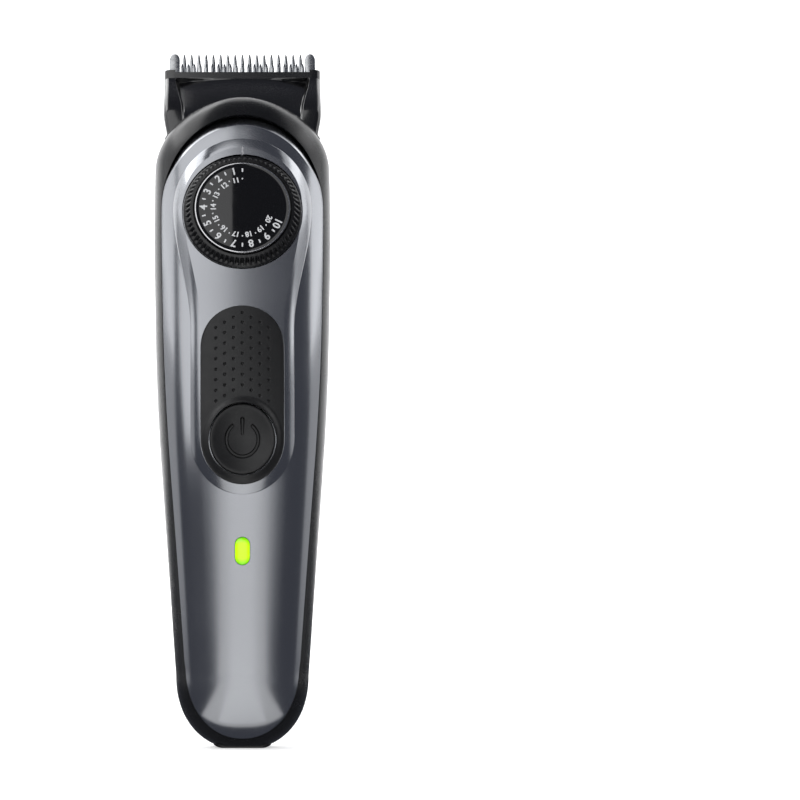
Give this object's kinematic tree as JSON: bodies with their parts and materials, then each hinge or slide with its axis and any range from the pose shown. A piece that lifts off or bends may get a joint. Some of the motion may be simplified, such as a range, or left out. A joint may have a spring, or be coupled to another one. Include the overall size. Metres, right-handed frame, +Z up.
{
  "type": "beard trimmer",
  "caption": "Upright cordless beard trimmer with a numbered length dial, a power button, a sliding comb carriage and a pull-off cutting head.",
  "frame": {"origin": "middle of the trimmer's width and depth, in the plane that its foot stands on", "axes": "+Z up the lower handle towards the blades; -Y towards the viewer, the side with the dial and the button; +X to the viewer's right when the dial faces the viewer"},
  "size_m": [0.0436, 0.0494, 0.175],
  "materials": {
    "black_gloss": "glossy black moulding",
    "black_satin": "satin black moulding",
    "soft_black": "soft-touch black elastomer",
    "silver_grey": "metallic silver-grey lacquer on plastic",
    "steel": "ground stainless steel",
    "brass": "turned brass",
    "nickel": "nickel-plated steel",
    "green_light": "clear lens lit green from behind",
    "board_green": "circuit-board laminate",
    "cell_wrap": "blue shrink wrap over the cell",
    "inner_grey": "inner moulding",
    "white_acetal": "natural acetal",
    "rubber": "black rubber",
    "lead_red": "red wire insulation"
  },
  "bodies": {
    "handle": {"rear_housing": "black_satin", "front_cover": "silver_grey", "rear_grip": "soft_black", "thumb_pad": "soft_black", "light_lens": "green_light", "battery_cell": "cell_wrap", "cell_tab_top": "nickel", "cell_tab_bottom": "nickel", "cell_cradle": "inner_grey", "circuit_board": "board_green", "switch_base": "black_satin", "light_chip": "white_acetal", "control_chip": "black_satin", "charging_socket": "black_satin", "charging_pin_right": "brass", "charging_pin_left": "brass", "motor_lead_red": "lead_red", "motor_lead_black": "rubber", "dial_bush": "brass", "detent_spring": "steel", "motor_can": "nickel", "motor_end_cap": "white_acetal", "motor_bracket": "inner_grey", "motor_cradle": "inner_grey", "neck_seal": "rubber"},
    "button": {"power_button": "soft_black"},
    "plunger": {"switch_plunger": "white_acetal"},
    "dial": {"dial_knob": "black_satin", "dial_face": "black_gloss", "dial_spindle": "steel", "dial_pinion": "white_acetal"},
    "comb_slider": {"rack_yoke": "white_acetal", "comb_carriage": "black_satin", "carriage_screw_right": "steel", "carriage_screw_left": "steel"},
    "rotor": {"motor_shaft": "steel", "eccentric_cam": "white_acetal"},
    "head": {"head_housing": "black_gloss", "head_back_cover": "black_satin", "fixed_blade": "steel", "blade_screw_right": "steel", "blade_screw_left": "steel", "blade_spring_right": "steel", "blade_spring_left": "steel"},
    "cutter": {"moving_blade": "steel", "blade_driver": "white_acetal"}
  },
  "joints": [
    {"name": "dial_turn", "type": "hinge", "parent": "handle", "child": "dial", "pos_m": [0, -0.01302, 0.1298], "axis": [0, 0.9744, -0.225], "range_deg": [0, 244.3]},
    {"name": "comb_slide", "type": "slide", "parent": "handle", "child": "comb_slider", "axis": [0, 0.225, 0.9744], "range_m": [0, 0.00951]},
    {"name": "button_press", "type": "slide", "parent": "handle", "child": "button", "axis": [0, 0.9972, -0.0742], "range_m": [0, 0.0006], "stiffness_N_per_m": 1800},
    {"name": "plunger_press", "type": "slide", "parent": "handle", "child": "plunger", "axis": [0, 1, 0], "range_m": [0, 0.00062]},
    {"name": "motor_spin", "type": "hinge", "parent": "handle", "child": "rotor", "pos_m": [0, 0.00301, 0.13256], "axis": [0, 0.225, 0.9744], "continuous": true},
    {"name": "head_release", "type": "slide", "parent": "handle", "child": "head", "axis": [0, 0.225, 0.9744], "range_m": [0, 0.02]},
    {"name": "blade_shuttle", "type": "slide", "parent": "head", "child": "cutter", "axis": [1, 0, 0], "range_m": [-0.0012, 0.0012]}
  ],
  "couplings": [
    {"joint": "comb_slide", "follows": "dial_turn", "m_per_rad": 0.002228},
    {"joint": "plunger_press", "follows": "button_press", "ratio": 1}
  ]
}
